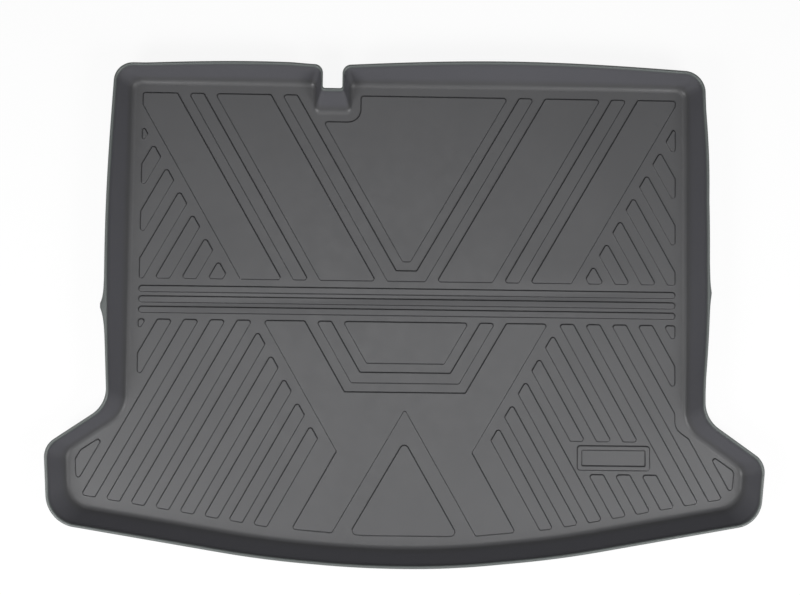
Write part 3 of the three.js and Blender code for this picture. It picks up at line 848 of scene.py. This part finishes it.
# %% Strew points
FOLD_HALF = 420.0
FOLD_OFFSETS = np.array([0, 2.5, 5.5, 9, 13.5, 19, 26, 35, 47, 62, 80])
FOLD_SPACING, WIDE_SPACING = 10.0, 26.0
fold_start = np.array([-FOLD_HALF, FOLD_LEFT])
fold_along = unit(np.array([2 * FOLD_HALF, FOLD_RIGHT - FOLD_LEFT]))
fold_across = np.array([-fold_along[1], fold_along[0]])


def strewn_points():
    """Rows of points beside the fold, and a plain grid over the rest of the tray."""
    offsets = np.concatenate([-FOLD_OFFSETS[:0:-1], FOLD_OFFSETS])
    along = np.arange(0.0, 2 * FOLD_HALF, FOLD_SPACING)
    rows = fold_start + along[:, None, None] * fold_along + offsets[None, :, None] * fold_across
    xs = np.arange(-LOBE_FOOT, LOBE_FOOT, WIDE_SPACING)
    ys = np.arange(-FRONT_FOOT, BACK_FOOT, WIDE_SPACING)
    grid = np.stack(np.meshgrid(xs, ys), axis=-1).reshape(-1, 2)
    far = np.abs((grid - fold_start) @ fold_across) > FOLD_OFFSETS[-1] + WIDE_SPACING / 2
    return np.vstack([rows.reshape(-1, 2), grid[far]])


strewn = strewn_points()
print("strewn points:", len(strewn))

# %% Fill between outlines
CLEARANCE = 2.0
SAME_PLACE = 1e-5


def clear_of(points, loops):
    """The points that keep the clearance from every loop: the distance to each edge is that to
    the nearest point of the edge, found by a share between 0 and 1."""
    nearest = np.full(len(points), np.inf)
    for loop in loops:
        edge = np.roll(loop, -1, axis=0) - loop
        away = points[:, None] - loop
        share = np.clip((away * edge).sum(axis=2) / (edge ** 2).sum(axis=1), 0.0, 1.0)
        gap = np.linalg.norm(away - edge * share[..., None], axis=2).min(axis=1)
        nearest = np.minimum(nearest, gap)
    return points[nearest > CLEARANCE]


def fill(loops, strewn):
    """Delaunay triangles between loops, whose edges are kept. Returns all points, the triangles,
    and for each triangle the set of loops that hold it."""
    extra = clear_of(strewn, loops)
    points = np.vstack(loops + [extra])
    starts = np.cumsum([0] + [len(loop) for loop in loops])
    outlines = [list(range(a, b)) for a, b in zip(starts, starts[1:])]
    places = [Vector(point) for point in points]
    _, _, triangles, origins, _, held = delaunay_2d_cdt(places, [], outlines, 0, SAME_PLACE)
    back_to = np.array([origin[0] for origin in origins])
    return points, back_to[np.array(triangles)], [set(loop) for loop in held]


square_triangles = fill([square], np.zeros((1, 2)))[1]
print("triangles in a square with one point strewn in it:", len(square_triangles))

# %% [markdown]
# ## The fold
# The tray was folded for packing, and a shallow valley is left where the fold was. The sheet
# rests on the floor along the valley, rises a little on both sides of it, and settles again. The
# walls hold the sheet down, so the rise fades towards them. Cloth simulation could find such a
# shape, but one formula gives it at once, and the same each time.

# %% Work out how far the sheet rises
RISE, RISE_WIDTH, RISE_TIP = 1.5, 26.0, 2.5
RISE_END, RISE_FADE = 392.0, 120.0
SWELL, SWELL_X, SWELL_Y = 0.25, 190.0, 150.0
SWELL_FRONT_END = FRONT_FOOT - 3 * FOOT_FILLET


def lift(points):
    """Rise of the sheet. Beside the fold it is the height times s * exp(1 - s), where s is the
    softened distance from the fold over the width. A smooth step fades it out at the walls. A
    slow swell, one plus the product of two sine waves, keeps the large faces from being dead
    flat, and fades evenly towards the walls."""
    from_start = points - fold_start
    across, along = from_start @ fold_across, from_start @ fold_along
    s = (np.hypot(across, RISE_TIP) - RISE_TIP) / RISE_WIDTH
    to_end = np.clip((RISE_END - np.abs(along - FOLD_HALF)) / RISE_FADE, 0.0, 1.0)
    fade = (3 - 2 * to_end) * to_end ** 2
    x, y = points.T
    from_side = np.clip((RISE_END - np.abs(x)) / RISE_FADE, 0.0, 1.0)
    from_front = np.clip((SWELL_FRONT_END - np.abs(y)) / RISE_FADE, 0.0, 1.0)
    swell = 1 + np.sin(x / SWELL_X * math.pi) * np.sin(y / SWELL_Y * math.pi)
    return RISE * s * np.exp(1 - s) * fade + SWELL * swell * (from_side * from_front)


print("highest rise:", round(float(lift(strewn).max()), 2), "mm")

# %% [markdown]
# ## One closed skin
# All parts of the surface now become one mesh: the level faces, the shoulders, the wall and the
# underside. Pads could be laid on the floor as pieces of their own, but the real tray is one
# moulding, and one skin has no hidden faces. Neighbouring parts share their border points, so
# merging doubles closes it.

# %% Keep the parts of the surface
chunks = []


def add_chunk(points, faces, marks):
    """Keeps a part of the surface: its points, faces that count from its own first point, and a
    mark for each point, which says how much of it is the side of a pad, and so how much painted
    shade it takes."""
    points = np.asarray(points, float).reshape(-1, 3)
    chunks.append((points, np.asarray(faces, int), np.broadcast_to(marks, len(points))))


def add_rows(rows, row_marks):
    """Part made of closed rows: each cell between two rows and two neighbours is one face."""
    across, round_it = rows.shape[:2]
    index = np.arange(across * round_it).reshape(across, round_it)
    onward = np.roll(index, -1, axis=1)
    faces = np.stack([index[:-1], index[1:], onward[1:], onward[:-1]], axis=-1).reshape(-1, 4)
    add_chunk(rows, faces, np.repeat(row_marks, round_it))


def add_level(loops, height, keep):
    """Level part between loops, with the triangles for which keep(loops that hold it) is true."""
    points, triangles, held = fill(loops, strewn)
    chosen = np.array([keep(owners) for owners in held])
    add_chunk(np.column_stack([points, np.full(len(points), height)]), triangles[chosen], 0.0)


print("sides of pads that become rows:", len(pad_sides) + 1)

# %% Gather the level faces, the pads' sides and the wall
floor_loops = [wall_rows[0, :, :2]] + [side[-1, :, :2] for side in pad_sides]
pocket_owner = len(floor_loops)
add_level(floor_loops + [pocket_sides[-1, :, :2]], SHEET,
          lambda owners: owners == {0} or pocket_owner in owners)
top_loops = [side[0, :, :2] for side in pad_sides] + [pocket_sides[0, :, :2]]
add_level(top_loops, SHEET + TREAD_HEIGHT,
          lambda owners: bool(owners) and len(top_loops) - 1 not in owners)
add_level([wall_rows[-1, :, :2]], 0.0, bool)
# Weight of the painted shade on the pads' sides: most halfway down each step, none on the level
# rows.
side_shade_marks = np.array([0.0, *np.sin(math.pi * SHOULDER_SHARES), 0.0])
for rows in pad_sides + [pocket_sides]:
    add_rows(rows, side_shade_marks)
add_rows(wall_rows, np.zeros(len(wall_rows)))
print("parts:", len(chunks), "faces:", sum(len(faces) for _, faces, _ in chunks))


# %% Make the mesh
MERGE = 1e-6
# Name of the mark that places the painted shade on the pads' sides.
PAD_SIDE_SHADE_MARK = "painted_side_shade"


def skin_mesh(name):
    """Mesh of all chunks in metres, centred on the middle of its own box in x and y, with doubles
    merged and all faces turned outwards."""
    starts = np.cumsum([0] + [len(points) for points, _, _ in chunks])
    points = np.vstack([points for points, _, _ in chunks])
    faces = [face for (_, own, _), start in zip(chunks, starts) for face in (own + start).tolist()]
    floor_level = points[:, 2] <= SHEET + TREAD_HEIGHT
    points[:, 2] += lift(points[:, :2]) * floor_level
    middle = (points.min(axis=0) + points.max(axis=0)) / 2
    points[:, :2] -= middle[:2]
    mesh = bpy.data.meshes.new(name)
    mesh.from_pydata((points * MM).tolist(), [], faces)
    marks = mesh.attributes.new(PAD_SIDE_SHADE_MARK, "FLOAT", "POINT")
    marks.data.foreach_set("value", np.concatenate([own for _, _, own in chunks]))
    work = bmesh.new()
    work.from_mesh(mesh)
    loose = [vertex for vertex in work.verts if not vertex.link_faces]
    bmesh.ops.delete(work, geom=loose, context="VERTS")
    bmesh.ops.remove_doubles(work, verts=work.verts, dist=MERGE)
    bmesh.ops.recalc_face_normals(work, faces=work.faces)
    open_edges = sum(len(edge.link_faces) != 2 for edge in work.edges)
    work.to_mesh(mesh)
    work.free()
    mesh.polygons.foreach_set("use_smooth", np.ones(len(mesh.polygons), bool))
    print("open edges:", open_edges)
    return mesh


liner_mesh = skin_mesh("liner_skin")
liner_mesh.calc_loop_triangles()
liner = bpy.data.objects.new("liner_skin", liner_mesh)
bpy.context.scene.collection.objects.link(liner)
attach(liner, "root")
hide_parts("boot_liner")
print("triangles:", len(liner_mesh.loop_triangles))

# %% [markdown]
# ## Satin elastomer
# The moulding is black, with a fine grain from the etched mould. It looks grey because it
# mirrors a little of everything bright. A picture of rubber could be wrapped round it, but it
# would need a UV map and would repeat. Noise on Object coordinates covers every face at one
# scale. The grain is a bump far smaller than a millimetre, and soft clouds vary the tone and the
# gloss, as on a real moulding. The pads' sides are painted darker as painted shade, so that the
# lines of the tread read clearly, and the wall is painted a little lighter as painted light. The
# lip is lighter still and a touch cooler, a painted highlight, and its rubber is on the smooth
# side of the range.

# %% Write helpers for the material
elastomer = bpy.data.materials.new("satin_elastomer")
elastomer.use_nodes = True
tree = elastomer.node_tree
shader = tree.nodes["Principled BSDF"]
place = tree.nodes.new("ShaderNodeTexCoord")


def noise(scale, detail, roughness=0.5):
    """Noise over Object coordinates."""
    made = node(tree, "ShaderNodeTexNoise", Scale=scale, Detail=detail, Roughness=roughness)
    link(tree, place.outputs["Object"], made.inputs["Vector"])
    return made.outputs["Fac"]


def spread(source, low, high, low_out, high_out):
    """Maps a range of values to another one, smoothly and clamped."""
    made = node(tree, "ShaderNodeMapRange", From_Min=low, From_Max=high, To_Min=low_out,
                To_Max=high_out)
    link(tree, source, made.inputs["Value"])
    return made.outputs["Result"]


def mix_colours(factor, first, second):
    """Mixes two colours by a factor. A colour may be a value or a socket."""
    made = tree.nodes.new("ShaderNodeMix")
    made.data_type = "RGBA"
    link(tree, factor, made.inputs["Factor"])
    for socket, colour in ((made.inputs["A"], first), (made.inputs["B"], second)):
        if isinstance(colour, tuple):
            socket.default_value = colour
        else:
            link(tree, colour, socket)
    return made.outputs["Result"]


def mix_values(factor, first, second):
    """Mixes two values by a factor. A value may be a number or a socket."""
    made = tree.nodes.new("ShaderNodeMix")
    link(tree, factor, made.inputs["Factor"])
    for socket, value in ((made.inputs["A"], first), (made.inputs["B"], second)):
        if isinstance(value, float):
            socket.default_value = value
        else:
            link(tree, value, socket)
    return made.outputs["Result"]


print("the elastomer starts with", len(tree.nodes), "nodes")

# %% Make the patterns and the masks
GRAIN_SCALE, CLOUD_SCALE, SMEAR_SCALE = 1500.0, 9.0, 60.0
# Heights between which the lip's painted highlight and its smoother rubber fade in.
LIP_FROM, LIP_TO = 0.0385, 0.0400
# Heights between which the wall's painted light fades in.
WALL_LIGHT_FROM, WALL_LIGHT_TO = 0.0080, 0.0160

grain, clouds, smear = noise(GRAIN_SCALE, 2.0), noise(CLOUD_SCALE, 4.0), noise(SMEAR_SCALE, 6.0)
axes = tree.nodes.new("ShaderNodeSeparateXYZ")
link(tree, place.outputs["Object"], axes.inputs["Vector"])
# Mask by height for the lip: its painted highlight and its smoother rubber.
lip_highlight_and_smoothness_mask = spread(axes.outputs["Z"], LIP_FROM, LIP_TO, 0.0, 1.0)
# Mask by height for the painted light on the wall.
wall_light_mask = spread(axes.outputs["Z"], WALL_LIGHT_FROM, WALL_LIGHT_TO, 0.0, 1.0)
# Reads the mark of the painted shade on the pads' sides.
painted_side_shade = tree.nodes.new("ShaderNodeAttribute")
painted_side_shade.attribute_name = PAD_SIDE_SHADE_MARK
print("the lip's tone starts", LIP_FROM / MM, "mm up, the wall's", WALL_LIGHT_FROM / MM, "mm up")

# %% Mix the elastomer
DARK_TONE, LIGHT_TONE = (0.066, 0.066, 0.069, 1.0), (0.080, 0.080, 0.083, 1.0)
# Painted shade for the pads' sides, darker than the level faces, and painted light for the wall,
# lighter and bluer.
PAD_SIDE_SHADE_TONE, WALL_LIGHT_TONE = (0.027, 0.027, 0.029, 1.0), (0.084, 0.084, 0.093, 1.0)
# The lip's lighter, cooler tone is a painted highlight; its roughness is the rubber's own.
LIP_HIGHLIGHT_TONE, LIP_ROUGHNESS = (0.105, 0.116, 0.113, 1.0), 0.42
SMEAR_FROM, SMEAR_TO = 0.3, 0.7
SMOOTHEST, ROUGHEST = 0.40, 0.50
GRAIN_HEIGHT, GRAIN_STRENGTH = 0.00006, 0.35

level_colour = mix_colours(clouds, DARK_TONE, LIGHT_TONE)
# Painted shade: the pads' sides take their darker tone by the mark.
side_shade_colour = mix_colours(painted_side_shade.outputs["Fac"], level_colour, PAD_SIDE_SHADE_TONE)
# Painted light: above the mask's heights the wall takes a lighter, bluer tone.
sheet_colour = mix_colours(wall_light_mask, side_shade_colour, WALL_LIGHT_TONE)
# Painted highlight: the lip takes its lighter, cooler tone.
link(tree, mix_colours(lip_highlight_and_smoothness_mask, sheet_colour, LIP_HIGHLIGHT_TONE), shader.inputs["Base Color"])
sheet_roughness = spread(smear, SMEAR_FROM, SMEAR_TO, SMOOTHEST, ROUGHEST)
link(tree, mix_values(lip_highlight_and_smoothness_mask, sheet_roughness, LIP_ROUGHNESS), shader.inputs["Roughness"])
shader.inputs["Specular IOR Level"].default_value = 0.5
bump = node(tree, "ShaderNodeBump", Strength=GRAIN_STRENGTH, Distance=GRAIN_HEIGHT)
link(tree, grain, bump.inputs["Height"])
link(tree, bump.outputs["Normal"], shader.inputs["Normal"])
liner.data.materials.append(elastomer)
print("materials:", [slot.name for slot in liner.data.materials])
